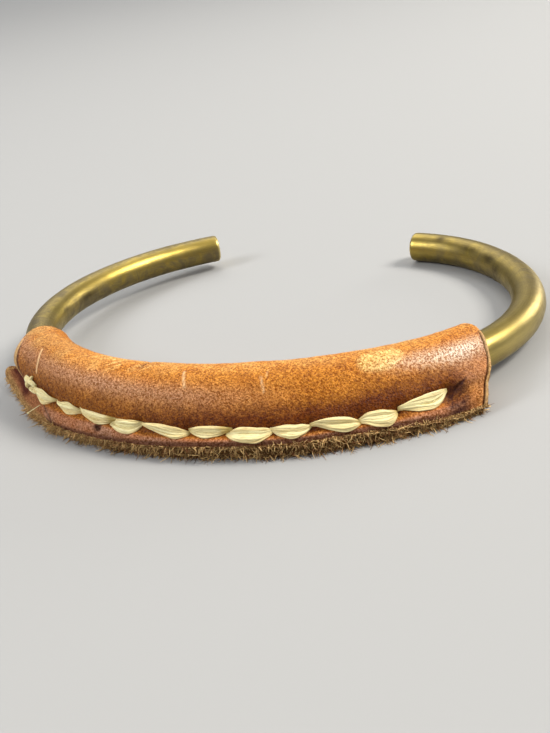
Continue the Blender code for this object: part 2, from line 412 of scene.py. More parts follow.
class Skin:
    """The sleeve's two skins as tables of sections, read at any length and column."""

    def __init__(self):
        self.lengths = np.arange(TABLE_FROM, TABLE_TO, TABLE_STEP)
        seams, edges = flange_lines(self.lengths)
        outer, inner = [], []
        for seam, edge in zip(seams, edges):
            upper_edge = edge - UPPER_SETBACK
            along, off, angle = section_line(seam, edge, upper_edge, TUBE_RADIUS, FLANGE_HALF, seam)
            outer.append(resample(along, off, OUTER_COLUMNS))
            tip = min(seam, (HUG_RADIUS - SLIT_HALF * math.sin(angle)) / math.cos(angle))
            along, off, angle = section_line(seam, edge, upper_edge, HUG_RADIUS, SLIT_HALF, tip)
            inner.append(resample(along, off, INNER_COLUMNS))
        outer = np.array(outer)
        along = smooth_columns(outer[:, 0], SMOOTHING)
        off = smooth_columns(outer[:, 1], SMOOTHING)
        slope_along = np.gradient(along, axis=1)
        slope_off = np.gradient(off, axis=1)
        size = np.hypot(slope_along, slope_off)
        walked = outer[:, 2]
        from_upper = walked - (edges - UPPER_SETBACK - seams)[:, None]
        from_lower = walked[:, -1:] - walked - (edges - seams)[:, None]
        # Square to the line, pointing out of the leather
        out_along = slope_off / size
        out_off = -slope_along / size
        self.outer = stack(along, off, out_along, out_off, from_upper, from_lower, walked)
        self.inner = np.array(inner)[:, :2].transpose(0, 2, 1)

    def read(self, sections, lengths, columns):
        """Values of a table of sections at matching arrays of lengths and columns."""
        row = np.clip((lengths - TABLE_FROM) / TABLE_STEP, 0, len(sections) - 1.001)
        column = np.clip(columns, 0, sections.shape[1] - 1.001)
        low_row, low_column = row.astype(int), column.astype(int)
        down, right = (row - low_row)[..., None], (column - low_column)[..., None]
        rows = []
        for near in (low_row, low_row + 1):
            left, next_one = sections[near, low_column], sections[near, low_column + 1]
            rows.append(left * (1 - right) + next_one * right)
        return rows[0] * (1 - down) + rows[1] * down

    def column_at(self, lengths, along, upper):
        """Columns of the outer skin at distances along the flange, on its upper or lower side."""
        half = OUTER_COLUMNS // 2
        found = []
        for length, wanted in zip(lengths.ravel(), along.ravel()):
            row = np.clip((length - TABLE_FROM) / TABLE_STEP, 0, len(self.outer) - 1)
            line = self.outer[int(row), :, 0]
            columns = np.arange(half, -1, -1) if upper else np.arange(half, OUTER_COLUMNS)
            found.append(np.interp(wanted, line[columns], columns))
        return np.array(found).reshape(lengths.shape)


SKIN = Skin()


def awl_holes():
    """Lengths and distances along the flange of the awl holes, each shared by two stitches."""
    ends = [STITCHES[0][0]]
    for left, right in zip(STITCHES, STITCHES[1:]):
        ends.append(((left[1][0] + right[0][0]) / 2, (left[1][1] + right[0][1]) / 2))
    ends.append(STITCHES[-1][1])
    return ends


def crack_inset(walked):
    """How far inside the sleeve's ends the crack along them runs."""
    return 0.42 + 0.07 * noise(stack(0.0, walked, 0.0), 1.1, 8)


def tear(lengths, upper, width, reach):
    """1 along the fine slanting crack beside the last stitch."""
    return hill(upper, 0.22 + 0.5 * (lengths - 22.7), width) * hill(lengths, 23.1, reach)


def relief(lengths, values, to_left, to_right):
    """How far the outer skin stands out of its plain section, in millimetres."""
    along, off, _, _, upper, lower, walked = np.moveaxis(values, -1, 0)
    angle = np.degrees(np.arctan2(off, along))
    place = stack(lengths, walked, 0.0)
    near_flange = ease(upper, 4.0, 1.0)
    height = (0.030 + 0.050 * near_flange) * noise(place, 5.0, 1)
    height += (0.020 + 0.030 * near_flange) * noise(place, 1.9, 2)
    height += 0.020 * noise(place, 0.75, 3) + 0.012 * noise(place, 0.33, 4)
    # The seam is drawn down, and the leather swells beside it; the right end lies smooth
    drawn = 1 - ease(lengths, 22.0, 24.0)
    for side in (upper, lower):
        height -= 0.26 * drawn * hill(side, 0.15, 0.36)
        height += 0.12 * (drawn * hill(side, 1.3, 0.75) + hill(side, -0.75, 0.35))
    height += 0.90 * (1 - drawn) * hill(upper, 0.35, 1.2)
    # The upper layer stands away from the lower one at the left end
    height += 0.75 * ease(lengths, -23.5, -28.0) * hill(upper, 2.6, 1.7)
    on_top = upper < ON_TOP
    for hole in awl_holes():
        height -= 0.30 * dimple(lengths, along, hole, 0.34) * on_top
        height -= 0.12 * spot(lengths, upper, hole[0], 0.8, 0.7, 0.7)
        height -= 0.25 * dimple(lengths, lower, (hole[0], 0.0), 0.45)
    height -= 0.55 * dimple(lengths, along, STRAY_HOLE, 0.26) * on_top
    height -= 0.45 * spot(lengths, angle, *NICK, 0.30, 24.0)
    # The upper skin rolls down over the raw edge, most of all at the right; cut ends are rounded
    rounded = ((walked, table(lengths, ROLL_WIDTH), table(lengths, ROLL_DEPTH)),
               (to_left, 0.30, 0.16), (to_right, 0.30, 0.16))
    for distance, width, depth in rounded:
        part = np.clip(1 - distance / width, 0.0, 1.0)
        height -= depth * (1 - np.sqrt(1 - part ** 2))
    # A crack just inside the right end, and a fine one beside the last stitch
    open_side = ease(upper, -2.5, -1.0) * ease(upper, 5.2, 3.6)
    height -= 0.34 * hill(to_right, crack_inset(walked), 0.07) * open_side
    return height - 0.32 * tear(lengths, upper, 0.14, 0.5)


def overhang(lengths):
    """How far the upper skin reaches out past its own raw edge as it rolls down."""
    return table(lengths, OVERHANG)


def displaced(lengths, values, height):
    """The outer skin's section, along and off the flange, standing out by a height."""
    along = values[..., 0] + values[..., 2] * height
    along = along + overhang(lengths) * ease(values[..., 6], 1.9, 0.0) ** 1.5
    return along, values[..., 1] + values[..., 3] * height


def end_tables(values):
    """Length along the rod at which each outer column ends, at the left and at the right."""
    upper, lower = values[:, 4], values[:, 5]
    is_upper = np.arange(OUTER_COLUMNS) < OUTER_COLUMNS // 2
    left = np.where(is_upper, table(upper, UPPER_LEFT_END), table(lower, LOWER_LEFT_END))
    right = table(np.where(is_upper, upper, lower), RIGHT_END)
    return smooth_columns(np.stack([left, right]), END_SMOOTHING)


def station_lengths():
    """Stations from the sleeve's left to its right, closer together towards both ends."""
    even = np.linspace(-1.0, 1.0, STATIONS)
    crowded = 0.62 * even + 0.38 * np.sin(even * math.pi / 2)
    middle = (SLEEVE_LEFT + SLEEVE_RIGHT) / 2
    return middle + crowded * (SLEEVE_RIGHT - SLEEVE_LEFT) / 2


def mesh_object(name, vertices, faces, material):
    """A new object from points in millimetres."""
    mesh = bpy.data.meshes.new(name)
    mesh.from_pydata((np.asarray(vertices) * MM).tolist(), [], faces)
    mesh.materials.append(material)
    mesh.shade_smooth()
    mesh.update()
    thing = bpy.data.objects.new(name, mesh)
    bpy.context.scene.collection.objects.link(thing)
    return thing


def color_layer(thing, name, columns):
    """A colour attribute from up to three columns of values from 0 to 1."""
    data = np.ones((len(thing.data.vertices), 4))
    for k, column in enumerate(columns):
        data[:, k] = column
    layer = thing.data.attributes.new(name, "FLOAT_COLOR", "POINT")
    layer.data.foreach_set("color", data.ravel())


def vector_layer(thing, name, vectors):
    """A vector attribute that materials read as a place on the surface."""
    layer = thing.data.attributes.new(name, "FLOAT_VECTOR", "POINT")
    layer.data.foreach_set("vector", np.asarray(vectors, float).ravel())


def sleeve_points():
    """Lengths, section values and relief of the outer skin's points, station by column."""
    base = station_lengths()
    columns = np.arange(OUTER_COLUMNS)
    ends = []
    for side, near in enumerate(END_SECTIONS):
        row = SKIN.read(SKIN.outer, np.full(OUTER_COLUMNS, near), columns)
        ends.append(end_tables(row)[side])
    from_left = np.clip(1 - (base - SLEEVE_LEFT) / END_FADE, 0, 1) ** 1.5
    from_right = np.clip(1 - (SLEEVE_RIGHT - base) / END_FADE, 0, 1) ** 1.5
    lengths = base[:, None] + from_left[:, None] * (ends[0] - SLEEVE_LEFT)
    lengths = lengths + from_right[:, None] * (ends[1] - SLEEVE_RIGHT)
    grid = np.broadcast_to(columns.astype(float), lengths.shape)
    values = SKIN.read(SKIN.outer, lengths, grid)
    height = relief(lengths, values, lengths - lengths[:1], lengths[-1:] - lengths)
    return lengths, values, height


def curl(lengths, along, off):
    """Lift of the sleeve's lower left corner, which curls up off the surface like a cup."""
    past = np.clip((-29.0 - lengths) / 4.0, 0.0, 1.3)
    lift = 1.15 * past ** 1.5 * ease(along, 3.6, 5.7)
    lift = lift + 0.30 * past * ease(along, 5.2, 5.9)
    return lift * (off < 0.4)


def build_sleeve(material):
    """The folded leather sleeve with its raw edges and cut ends."""
    lengths, values, height = sleeve_points()
    outer = stack(*displaced(lengths, values, height))
    walked = values[..., 6]
    pick = np.arange(0, OUTER_COLUMNS, INNER_STRIDE)
    inner_lengths = lengths[:, pick]
    inner_grid = np.broadcast_to(np.arange(INNER_COLUMNS, dtype=float), inner_lengths.shape)
    inner = SKIN.read(SKIN.inner, inner_lengths, inner_grid)
    inner[:, 0, 0] += overhang(inner_lengths[:, 0])
    blocks, index = [], 0

    def add(lengths, section, raw, flesh, walked):
        """Append a block of points and give back their numbers."""
        nonlocal index
        along, off = section[..., 0], section[..., 1]
        off = off + curl(lengths, along, off)
        points = AXIS.beside(lengths, along, off)
        points[..., 2] = points[..., 2].clip(0.0)
        numbers = index + np.arange(lengths.size).reshape(lengths.shape)
        index += lengths.size
        looks = stack(lengths, walked, raw, flesh, along, off)
        blocks.append(np.concatenate([points, looks], -1).reshape(-1, 9))
        return numbers

    outer_numbers = add(lengths, outer, 0.0, 0.0, walked)
    inner_numbers = add(inner_lengths, inner, 0.0, 1.0, walked[:, pick])
    # The two raw edges, from the outer skin to the inner one
    steps = np.arange(1, EDGE_ROWS + 1) / (EDGE_ROWS + 1)
    arch = np.sin(math.pi * steps)
    edge_numbers = []
    for column, inner_column in ((0, 0), (OUTER_COLUMNS - 1, INNER_COLUMNS - 1)):
        start, end = outer[:, column, None], inner[:, inner_column, None]
        face = start + (end - start) * steps[:, None]
        place = stack(lengths[:, column, None], steps * LEATHER, 7.0 + column)
        rough = 0.13 * noise(place, 0.34, 11) + 0.10 * noise(place, 0.9, 12)
        face[..., 0] += 0.12 * arch + rough * arch ** 0.5
        edge_numbers.append(add(place[..., 0], face, 1.0, 0.0, steps * LEATHER))
    upper_edge, lower_edge = edge_numbers
    # Faces round the section; at both ends the inner skin's last strip is part of the cut end
    rings = np.concatenate(
        [outer_numbers, lower_edge, inner_numbers[:, ::-1], upper_edge[:, ::-1]], axis=1
    )
    near, far = rings[:-1], rings[1:]
    wanted = np.ones(near.shape, bool)
    inner_start = OUTER_COLUMNS + EDGE_ROWS
    wanted[[0, -1], inner_start:inner_start + INNER_COLUMNS - 1] = False
    corners = (near, onward(near), onward(far), far)
    faces = quads(*(corner[wanted] for corner in corners))
    for station, step in ((0, 1), (STATIONS - 1, -1)):
        rows = [outer_numbers[station]]
        here = np.arange(1, OUTER_COLUMNS - 1)
        at, around = lengths[station, here], walked[station, here]
        deep = SKIN.read(SKIN.inner, at, here / INNER_STRIDE)
        for k, share in enumerate(steps):
            place = stack(around, share * LEATHER, 0.0)
            rough = 0.10 * noise(place, 0.4, 21 + station) + 0.09 * noise(place, 1.1, 22 + station)
            bulge = -step * (0.10 + rough) * arch[k]
            section = outer[station, here] * (1 - share) + deep * share
            row = add(at + bulge, section, CAP_RAW, 0.0, around)
            rows.append(np.concatenate([[upper_edge[station, k]], row, [lower_edge[station, k]]]))
        here = np.flatnonzero(np.arange(OUTER_COLUMNS) % INNER_STRIDE)
        deep = SKIN.read(SKIN.inner, lengths[station, here], here / INNER_STRIDE)
        last = np.zeros(OUTER_COLUMNS, int)
        last[here] = add(lengths[station, here], deep, 0.5, 0.5, walked[station, here])
        last[pick] = inner_numbers[station]
        rows = np.array(rows + [last])
        faces += quads(rows[:-1, :-1], rows[:-1, 1:], rows[1:, 1:], rows[1:, :-1])
        beyond = inner_numbers[station + step].tolist()
        for k in range(INNER_COLUMNS - 1):
            edge = last[k * INNER_STRIDE:(k + 1) * INNER_STRIDE + 1].tolist()
            faces.append((*edge, beyond[k + 1], beyond[k]))
    data = np.concatenate(blocks)
    sleeve = mesh_object("leather_wrap", data[:, :3], faces, material)
    fix_normals(sleeve)
    paint_leather(sleeve, data)
    return sleeve, data


def fix_normals(thing):
    """Make all faces of a closed mesh face outwards."""
    builder = bmesh.new()
    builder.from_mesh(thing.data)
    bmesh.ops.recalc_face_normals(builder, faces=builder.faces)
    builder.to_mesh(thing.data)
    builder.free()


def paint_leather(sleeve, data):
    """Masks for the leather's shades, from where each point is on the sleeve."""
    lengths, walked, raw, flesh, along, off = data.T[3:]
    angle = np.degrees(np.arctan2(off, along))
    seam, edge = flange_lines(lengths)
    upper = walked - (edge - UPPER_SETBACK - seam)
    place = stack(lengths, walked, 0.0)
    blotch = 0.5 * noise(place, 2.6, 31) + 0.5 * noise(place, 1.1, 32)
    outside = (raw == 0) & (flesh == 0)
    # Flesh side near the raw edges is as fibrous as they are
    lip = ease(lengths, -18.0, -22.0)
    raw = np.maximum(raw, flesh * ease(along - edge - 0.45 * lip, -1.3, -0.8))
    raw = np.maximum(raw, flesh * ease(lengths, -32.9, -33.4) * ease(along, 4.2, 5.0))
    # Dark brown low on the tube, deepest towards the right: partly the leather's own darker brown,
    # partly painted shade on the lower side
    low = ease(upper, 4.2, 1.2) * ease(upper, -0.5, 0.3)
    dull = 0.28 * ease(lengths, -13.0, -22.0) + 0.08 * ease(lengths, 20.0, 27.0)
    dark = np.clip(low * table(lengths, DARKNESS) + dull + 0.22 * blotch, 0, 1)
    # Outside the stitches the skin is orange on the right, mauve on the left and dark at its rim; the
    # mauve is partly rubbed wear and partly a painted highlight along the rounded rim
    strip = ease(upper, -0.15, -0.5) * ease(lengths, 24.5, 22.5)
    dark = dark * (1 - strip) + strip * ease(walked, 0.30, 0.12)
    # Painted mauve grey sheen, standing for a reflection on the waxed leather, along the left half, and
    # at the left end
    mauve = table(lengths, MAUVE_SHEEN) * hill(upper, table(lengths, MAUVE_SHEEN_CENTRE), 1.15)
    mauve = mauve + 0.40 * ease(lengths, 22.5, 25.0) * ease(upper, 4.5, 2.0)
    rubbed_and_lit = np.maximum(ease(lengths + 3 * blotch, -1.5, -5.5), ease(walked, 0.75, 0.50))
    mauve = mauve * (1 - strip) + strip * rubbed_and_lit * (0.85 + 0.4 * blotch)
    # Pale worn patch high on the right, scuffs on the left, and the top edge painted lighter where
    # light falls from above
    patch = spot(lengths, angle, 17.2, 88, 2.9, 24)
    patch = 1.1 * ease(patch + 0.28 * blotch, 0.40, 0.72)
    top = 0.42 * ease(angle, 82, 125) * ease(angle, 185, 150)
    slanted = stack(lengths + 0.9 * walked, 5 * (walked - 0.9 * lengths), 0.0)
    scuffs = ease(noise(slanted, 1.6, 33), 0.10, 0.55) * spot(lengths, angle, -11.0, 128, 5.5, 22)
    pale = np.clip(patch + top * (0.6 + 0.9 * blotch) + 0.9 * scuffs, 0, 1)
    # Glossy spots on the right: lower roughness, and a painted highlight in the colour
    gloss_and_highlight = 0.95 * spot(lengths, angle, 24.8, 64, 2.9, 14)
    gloss_and_highlight = gloss_and_highlight + 0.5 * spot(lengths, angle, 20.5, 72, 3.0, 14)
    # Inside, the flesh side is tan out on the flange and dark red deep in the fold, where the dark red
    # is painted shade
    tan = ease(along + 0.4 * blotch, 4.7, 5.3) + ease(lengths, -27.0, -25.0)
    pale = np.where(outside, pale, tan)
    pale = np.where(raw > 0.5, table(lengths, RAW_PALENESS), pale)
    # Dark stain beside the last stitch; the tear, the stray hole and the nick are painted dark as shade
    # in them
    stain_and_recess_shade = spot(lengths, upper, 22.7, -0.3, 1.1, 1.2)
    stain_and_recess_shade = 0.9 * ease(stain_and_recess_shade + 0.25 * blotch, 0.15, 0.8)
    stain_and_recess_shade = stain_and_recess_shade + 2.5 * dimple(lengths, along, STRAY_HOLE, 0.36) * (upper < ON_TOP)
    stain_and_recess_shade = stain_and_recess_shade + 3.0 * tear(lengths, upper, 0.12, 0.55)
    stain_and_recess_shade = np.clip(stain_and_recess_shade + spot(lengths, angle, *NICK, 0.28, 24.0), 0, 1)
    # Along both ends the raw edge shows as a pale band beyond a crack painted dark as shade
    left_gap = lengths - table(upper, UPPER_LEFT_END)
    right_gap = table(upper, RIGHT_END) - lengths
    inset = crack_inset(walked)
    open_side = ease(upper, -1.6, -1.0) * ease(upper, 5.4, 3.8)
    crack = hill(right_gap, inset, 0.11) + hill(left_gap, 2.4 * inset, 0.24)
    stain_and_recess_shade = np.clip(stain_and_recess_shade + crack * open_side, 0, 1)
    band = ease(np.minimum(right_gap, 0.45 * left_gap), inset, inset - 0.12) * open_side
    band = band * np.where(lengths < 0, 0.75 * ease(upper, 0.2, 0.7), 1.0)
    light = np.maximum(scratches(lengths, angle), band * (0.5 + 0.8 * blotch))
    raw = np.maximum(raw, 0.6 * band * outside)
    tones = (dark * outside, mauve * outside, np.maximum(pale, band * outside))
    color_layer(sleeve, "tones", [np.clip(mask, 0, 1) for mask in tones])
    color_layer(sleeve, "marks", [mask * outside for mask in (stain_and_recess_shade, light, strip)])
    color_layer(sleeve, "kinds", (raw, flesh, np.clip(gloss_and_highlight, 0, 1) * outside))
    vector_layer(sleeve, "surface", place)


def scratches(lengths, angle):
    """Fine pale scratches across the top, each from one place to another."""
    found = np.zeros(len(lengths))
    for *path, width, strength in SCRATCHES:
        path.sort(key=lambda point: point[1])
        places, turns = zip(*path)
        line = np.interp(angle, turns, places)
        inside = ease(angle, turns[0] - 3, turns[0] + 3) * ease(angle, turns[2] + 3, turns[2] - 3)
        found = np.maximum(found, strength * inside * hill(lengths, line, width))
    return found


class Shader:
    """A node material under construction."""

    def __init__(self, name):
        self.material = bpy.data.materials.new(name)
        self.material.use_nodes = True
        self.tree = self.material.node_tree
        self.surface = self.tree.nodes["Principled BSDF"]

    def node(self, kind, inputs=None, **settings):
        made = self.tree.nodes.new(kind)
        for key, value in settings.items():
            setattr(made, key, value)
        for key, value in (inputs or {}).items():
            self.put(made.inputs[key], value)
        return made

    def put(self, socket, value):
        """Link a socket to another, or set its value."""
        if isinstance(value, bpy.types.NodeSocket):
            self.tree.links.new(value, socket)
        else:
            socket.default_value = value

    def math(self, operation, first, second=0.0, clamp=False):
        made = self.node("ShaderNodeMath", {0: first, 1: second}, operation=operation)
        made.use_clamp = clamp
        return made.outputs[0]

    def times(self, first, second):
        return self.math("MULTIPLY", first, second)

    def over(self, color, share, strength, tint):
        """A tint laid over a colour, by a mask times a strength."""
        return self.mix(self.times(share, strength), color, tint)

    def look(self, name, value):
        """Link the surface's socket of this name."""
        self.put(self.surface.inputs[name], value)

    def mix(self, share, first, second, blend="MIX"):
        """Blend of two colours by a share from 0 to 1."""
        made = self.node("ShaderNodeMix", data_type="RGBA", blend_type=blend)
        made.clamp_factor = True
        self.put(made.inputs["Factor"], share)
        for name, value in (("A", first), ("B", second)):
            socket = [s for s in made.inputs if s.name == name and s.type == "RGBA"][0]
            self.put(socket, (*value, 1.0) if isinstance(value, tuple) else value)
        return [s for s in made.outputs if s.type == "RGBA"][0]

    def range(self, value, low, high, to_low=0.0, to_high=1.0):
        """Value mapped from one range to another and held inside it."""
        inputs = {0: value, 1: low, 2: high, 3: to_low, 4: to_high}
        return self.node("ShaderNodeMapRange", inputs, clamp=True).outputs[0]

    def masks(self, name):
        """The three masks of a colour attribute."""
        layer = self.node("ShaderNodeAttribute", attribute_name=name)
        split = self.node("ShaderNodeSeparateColor", {0: layer.outputs["Color"]})
        return split.outputs[0], split.outputs[1], split.outputs[2]

    def place(self, attribute=None, stretch=(1.0, 1.0, 1.0)):
        """Coordinates in millimetres, of the object or of a vector attribute."""
        if attribute:
            source = self.node("ShaderNodeAttribute", attribute_name=attribute).outputs["Vector"]
            scale = stretch
        else:
            source = self.node("ShaderNodeTexCoord").outputs["Object"]
            scale = tuple(1000.0 * value for value in stretch)
        inputs = {0: source, 1: scale}
        return self.node("ShaderNodeVectorMath", inputs, operation="MULTIPLY").outputs[0]

    def noise(self, place, scale, detail=2.0, roughness=0.5, distortion=0.0):
        inputs = {"Vector": place, "Scale": scale, "Detail": detail, "Roughness": roughness,
                  "Distortion": distortion}
        return self.node("ShaderNodeTexNoise", inputs).outputs["Fac"]

    def cells(self, place, scale):
        inputs = {"Vector": place, "Scale": scale}
        return self.node("ShaderNodeTexVoronoi", inputs).outputs["Distance"]

    def bump(self, height, strength, depth, below=None):
        """A normal that follows a height from 0 to 1, depth millimetres deep."""
        inputs = {"Height": height, "Strength": strength, "Distance": depth * MM}
        if below is not None:
            inputs["Normal"] = below
        return self.node("ShaderNodeBump", inputs).outputs[0]


def leather_material():
    """Vegetable-tanned leather: mottled grain side, fibrous raw edges, dull flesh side."""
    s = Shader("leather_tan")
    place = s.place()
    dark, mauve, pale = s.masks("tones")
    stain_and_recess_shade, scratch, strip = s.masks("marks")
    raw, flesh, gloss_and_highlight = s.masks("kinds")
    grain = s.noise(place, 2.4, 3.0, 0.62, 0.4)
    fine = s.noise(place, 4.8, 2.0, 0.7, 0.5)
    cloud = s.noise(place, 0.45, 3.0, 0.55)
    # Grain side: saturated orange to brown
    mottle = s.range(grain, 0.36, 0.64)
    color = s.mix(s.range(cloud, 0.3, 0.7), (0.58, 0.185, 0.016), (0.70, 0.25, 0.026))
    color = s.over(color, mottle, 0.50, (0.34, 0.088, 0.004))
    # Darker low on the tube: the leather's own brown and painted shade
    depth = s.math("ADD", s.times(mottle, 0.25), dark)
    color = s.mix(s.range(depth, 0.12, 1.10), color, (0.125, 0.024, 0.0))
    # Painted mauve grey sheen: a reflection laid into the colour
    painted_sheen = s.times(mauve, s.range(grain, 0.30, 0.70, 1.0, 0.6))
    color = s.over(color, painted_sheen, 0.72, (0.52, 0.27, 0.150))
    # Pale wear and scuffs, and painted light along the top edge
    worn_and_lit = s.times(pale, s.range(grain, 0.36, 0.66, 1.0, 0.45))
    color = s.over(color, worn_and_lit, 0.85, (0.98, 0.58, 0.17))
    # Outside the stitches: an orange-red strip, mauve where it is rubbed and as a painted highlight
    # along the rounded rim, dark along the rim
    rubbed_and_lit = s.mix(mauve, (0.56, 0.135, 0.010), (0.40, 0.175, 0.080))
    color = s.mix(strip, color, s.mix(dark, rubbed_and_lit, (0.15, 0.052, 0.022)))
    # Fine light and dark specks of the grain, the light ones partly painted glints, then stains,
    # scratches and gloss
    specks_and_glints = s.mix(s.range(fine, 0.38, 0.62), (0.46, 0.34, 0.12), (1.36, 1.60, 2.1))
    color = s.mix(1.0, color, specks_and_glints, "MULTIPLY")
    # Stain, and painted shade in the hole, the nick, the tear and the cracks
    color = s.over(color, stain_and_recess_shade, s.range(grain, 0.34, 0.62, 1.0, 0.55), (0.034, 0.008, 0.008))
    color = s.over(color, scratch, 0.9, (0.95, 0.64, 0.33))
    # Painted highlight where the leather is glossy
    color = s.over(color, gloss_and_highlight, s.range(fine, 0.42, 0.60, 0.10, 1.0), (1.0, 0.86, 0.66))
    # Raw edges and flesh side
    fibre = s.noise(s.place("surface", (1.0, 1.7, 1.0)), 2.2, 4.0, 0.75, 1.2)
    edge = s.mix(pale, (0.26, 0.130, 0.028), (0.72, 0.43, 0.16))
    # Dark between the fibres of the raw edges: painted shade in the gaps
    gap = s.mix(pale, (0.050, 0.018, 0.005), (0.26, 0.11, 0.035))
    edge = s.mix(s.range(fibre, 0.40, 0.60), gap, edge)
    outer_flesh = s.mix(s.range(fibre, 0.36, 0.60), (0.26, 0.075, 0.025), (0.66, 0.27, 0.11))
    # Dark red flesh deep in the fold: painted shade
    deep_flesh = s.mix(s.range(fibre, 0.36, 0.66), (0.060, 0.010, 0.006), (0.19, 0.038, 0.018))
    color = s.mix(flesh, color, s.mix(pale, deep_flesh, outer_flesh))
    s.look("Base Color", s.mix(raw, color, edge))
    covered = s.math("MAXIMUM", raw, flesh)
    rough = s.math("SUBTRACT", s.range(fine, 0.3, 0.7, 0.42, 0.52), s.times(gloss_and_highlight, 0.27))
    s.look("Roughness", s.math("ADD", rough, s.times(covered, 0.4), clamp=True))
    s.surface.inputs["Specular IOR Level"].default_value = 0.13
    grain_side = s.math("SUBTRACT", 1.0, s.math("MAXIMUM", covered, s.times(gloss_and_highlight, 0.72)))
    pebbles = s.times(s.range(s.cells(place, 4.2), 0.0, 0.6, 1.0, 0.0), grain_side)
    normal = s.bump(pebbles, 0.8, 0.07)
    normal = s.bump(s.times(fine, grain_side), 0.8, 0.09, normal)
    s.look("Normal", s.bump(s.times(fibre, covered), 1.0, 0.45, normal))
    return s.material


def brass_material():
    """Aged brass: satin, scratched lengthwise, with smudges of dark tarnish, painted dark reflection
    and painted highlights.
    """
    s = Shader("brass_aged")
    place = s.place()
    streak = s.noise(s.place("surface", (0.10, 1.0, 1.0)), 5.0, 5.0, 0.7)
    hair = s.noise(s.place("surface", (0.05, 1.0, 1.0)), 16.0, 2.0, 0.6)
    cloud = s.noise(place, 0.16, 4.0, 0.6)
    smudge = s.noise(place, 0.45, 5.0, 0.65, 0.8)
    tarnish_and_dark_reflection, painted_brass_light, spots = s.masks("wear")
    color = s.mix(s.range(cloud, 0.35, 0.65), (0.40, 0.292, 0.060), (0.30, 0.218, 0.048))
    color = s.over(color, s.range(streak, 0.42, 0.72), 0.55, (0.17, 0.12, 0.03))
    # Tarnish darkens the colour, partly as painted dark reflection
    dull = s.times(tarnish_and_dark_reflection, s.range(smudge, 0.34, 0.60))
    color = s.over(color, dull, 0.85, (0.150, 0.122, 0.072))
    patchy = s.times(spots, s.range(smudge, 0.30, 0.55, 0.5, 1.0))
    color = s.over(color, patchy, 0.9, (0.050, 0.034, 0.012))
    # Painted highlights on the rims of the cut ends and painted light where the right arm leaves the
    # sleeve
    s.look("Base Color", s.over(color, painted_brass_light, 0.7, (0.74, 0.60, 0.25)))
    s.surface.inputs["Metallic"].default_value = 1.0
    s.look("Roughness", s.math("ADD", s.range(streak, 0.3, 0.7, 0.26, 0.40), s.times(dull, 0.25)))
    normal = s.bump(streak, 0.35, 0.02)
    normal = s.bump(hair, 0.35, 0.008, normal)
    s.look("Normal", s.bump(s.noise(place, 0.9, 3.0, 0.6), 0.25, 0.05, normal))
    return s.material


def sinew_material():
    """Waxed sinew: cream fibres, golden and darker where they thin out, with painted shade at the sides
    of each stitch.
    """
    s = Shader("sinew_waxed")
    shade, gold, _ = s.masks("strand")
    fibre = s.noise(s.place("surface", (0.6, 9.0, 9.0)), 2.0, 3.0, 0.6)
    color = s.mix(shade, (0.76, 0.50, 0.15), (1.0, 0.92, 0.50))
    color = s.over(color, s.range(fibre, 0.52, 0.66), 0.55, (0.42, 0.22, 0.05))
    s.look("Base Color", s.over(color, gold, 0.85, (0.46, 0.31, 0.06)))
    s.look("Roughness", s.range(fibre, 0.3, 0.7, 0.38, 0.55))
    s.look("Normal", s.bump(fibre, 0.5, 0.04))
    return s.material


def fuzz_material():
    """Loose leather fibres, olive gold to brown."""
    s = Shader("leather_fibres")
    shade, red, _ = s.masks("strand")
    color = s.mix(shade, (0.095, 0.032, 0.005), (1.0, 0.67, 0.28))
    s.look("Base Color", s.mix(red, color, (0.30, 0.11, 0.045)))
    s.surface.inputs["Roughness"].default_value = 0.8
    s.surface.inputs["Specular IOR Level"].default_value = 0.15
    return s.material


